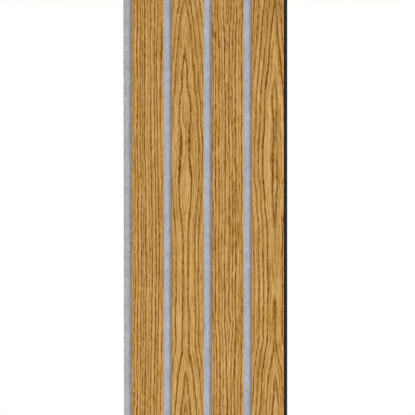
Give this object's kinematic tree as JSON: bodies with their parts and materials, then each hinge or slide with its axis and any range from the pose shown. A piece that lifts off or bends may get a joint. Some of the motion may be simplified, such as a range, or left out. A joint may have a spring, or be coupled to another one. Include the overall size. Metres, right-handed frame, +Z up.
{
  "type": "acoustic slat wall panel",
  "caption": "Narrow wall panel of upright oak-veneered slats on grey felt, on a black carrier board whose lip lets the next panel lap over it.",
  "frame": {"origin": "on the wall face (the back of the carrier board), midway across the four slat pitches and midway along the length", "axes": "+Z up along the slats, +Y out of the back into the wall, so the slats face -Y; +X to the right as seen from the room"},
  "size_m": [0.164, 0.024, 0.6],
  "materials": {
    "black_board": "through-dyed black fibreboard, matt",
    "grey_felt": "needled grey felt, matt and slightly mottled",
    "fibreboard_core": "bare fibreboard, sawn at the ends",
    "oak_veneer": "oak veneer with matt lacquer, dark open grain",
    "staple_steel": "bright galvanised staple wire"
  },
  "bodies": {
    "root": {"carrier_board": "black_board", "felt_layer": "grey_felt", "slat_core_1": "fibreboard_core", "slat_core_2": "fibreboard_core", "slat_core_3": "fibreboard_core", "slat_core_4": "fibreboard_core", "slat_veneer_1": "oak_veneer", "slat_veneer_2": "oak_veneer", "slat_veneer_3": "oak_veneer", "slat_veneer_4": "oak_veneer", "staples": "staple_steel"}
  },
  "joints": []
}
